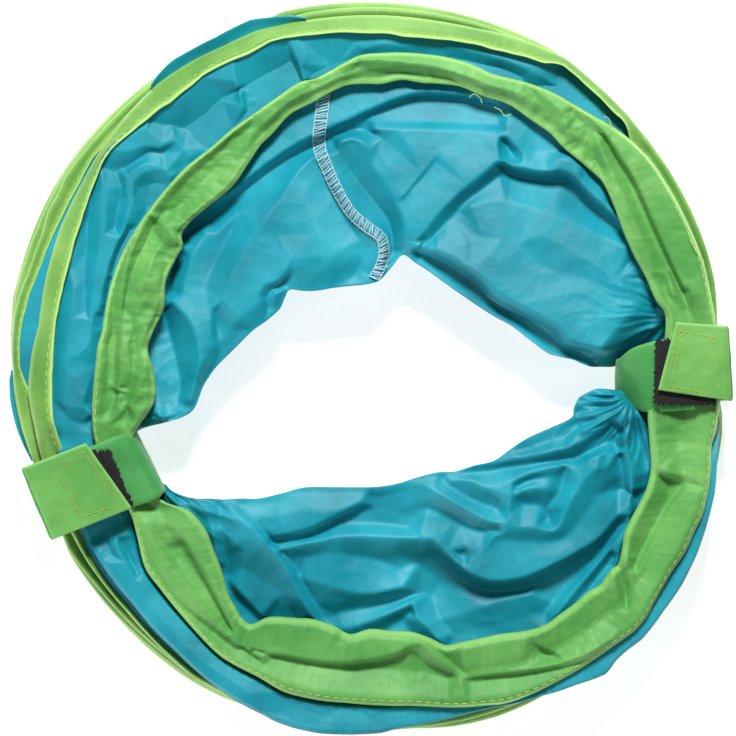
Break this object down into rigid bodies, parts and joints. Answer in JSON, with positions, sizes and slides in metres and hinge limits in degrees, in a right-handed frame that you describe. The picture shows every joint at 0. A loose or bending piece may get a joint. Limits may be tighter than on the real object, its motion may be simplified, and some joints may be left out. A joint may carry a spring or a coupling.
{
  "type": "pet play tunnel",
  "caption": "Pop-up cloth play tunnel for a rabbit, pushed flat into a ring and held shut by hook-and-loop straps; it draws out along its axis.",
  "frame": {"origin": "on the floor at the centre of the flat ring, under the middle of its box", "axes": "+Z along the tunnel's axis from the rear mouth to the front mouth, +X to the right and +Y to the top of the picture"},
  "size_m": [0.2654, 0.2689, 0.0382],
  "materials": {
    "teal_taffeta": "thin crisp nylon taffeta with a soft sheen",
    "green_hem_cloth": "plain woven nylon, slightly puckered",
    "green_channel_tape": "bias tape with lighter stitched edges",
    "spring_steel": "bright wire",
    "green_webbing": "flat woven strap",
    "black_hook_and_loop": "matt pile",
    "white_overlock_thread": "overlocked thread",
    "yellow_green_thread": "sewing thread"
  },
  "bodies": {
    "rear_mouth": {"rear_hoop": "spring_steel", "rear_hem": "green_hem_cloth", "tunnel_panel_1": "teal_taffeta", "left_strap": "green_webbing", "left_loop_patch": "black_hook_and_loop", "right_strap": "green_webbing", "right_loop_patch": "black_hook_and_loop"},
    "turn_1": {"hoop_1": "spring_steel", "channel_tape_1": "green_channel_tape", "tunnel_panel_2": "teal_taffeta"},
    "turn_2": {"hoop_2": "spring_steel", "channel_tape_2": "green_channel_tape", "tunnel_panel_3": "teal_taffeta"},
    "turn_3": {"hoop_3": "spring_steel", "channel_tape_3": "green_channel_tape", "tunnel_panel_4": "teal_taffeta"},
    "turn_4": {"hoop_4": "spring_steel", "channel_tape_4": "green_channel_tape", "tunnel_panel_5": "teal_taffeta", "overlock_seam": "white_overlock_thread"},
    "front_mouth": {"front_hoop": "spring_steel", "front_hem": "green_hem_cloth"},
    "left_flap_end": {"left_flap": "green_webbing", "left_hook_patch": "black_hook_and_loop", "left_flap_stitch": "yellow_green_thread"},
    "right_flap_end": {"right_flap": "green_webbing", "right_hook_patch": "black_hook_and_loop", "right_flap_stitch": "yellow_green_thread"}
  },
  "joints": [
    {"name": "tunnel_extend", "type": "slide", "parent": "rear_mouth", "child": "turn_1", "axis": [0, 0, 1], "range_m": [0, 0.175], "deforming": ["tunnel_panel_1", "left_strap", "left_loop_patch", "left_flap", "left_hook_patch", "left_flap_stitch", "right_strap", "right_loop_patch", "right_flap", "right_hook_patch", "right_flap_stitch"]},
    {"name": "turn_2_extend", "type": "slide", "parent": "turn_1", "child": "turn_2", "axis": [0, 0, 1], "range_m": [0, 0.175], "deforming": ["tunnel_panel_2"]},
    {"name": "turn_3_extend", "type": "slide", "parent": "turn_2", "child": "turn_3", "axis": [0, 0, 1], "range_m": [0, 0.175], "deforming": ["tunnel_panel_3"]},
    {"name": "turn_4_extend", "type": "slide", "parent": "turn_3", "child": "turn_4", "axis": [0, 0, 1], "range_m": [0, 0.175], "deforming": ["tunnel_panel_4"]},
    {"name": "front_mouth_extend", "type": "slide", "parent": "turn_4", "child": "front_mouth", "axis": [0, 0, 1], "range_m": [0, 0.175], "deforming": ["tunnel_panel_5", "overlock_seam"]},
    {"name": "left_flap_peel", "type": "hinge", "parent": "rear_mouth", "child": "left_flap_end", "pos_m": [-0.12362, -0.0512, 0.0358], "axis": [0.3827, -0.9239, 0], "range_deg": [0, 150]},
    {"name": "right_flap_peel", "type": "hinge", "parent": "rear_mouth", "child": "right_flap_end", "pos_m": [0.13378, 0.00233, 0.0358], "axis": [-0.0175, 0.9998, 0], "range_deg": [0, 150]}
  ],
  "couplings": [
    {"joint": "turn_2_extend", "follows": "tunnel_extend", "ratio": 1},
    {"joint": "turn_3_extend", "follows": "tunnel_extend", "ratio": 1},
    {"joint": "turn_4_extend", "follows": "tunnel_extend", "ratio": 1},
    {"joint": "front_mouth_extend", "follows": "tunnel_extend", "ratio": 1}
  ]
}
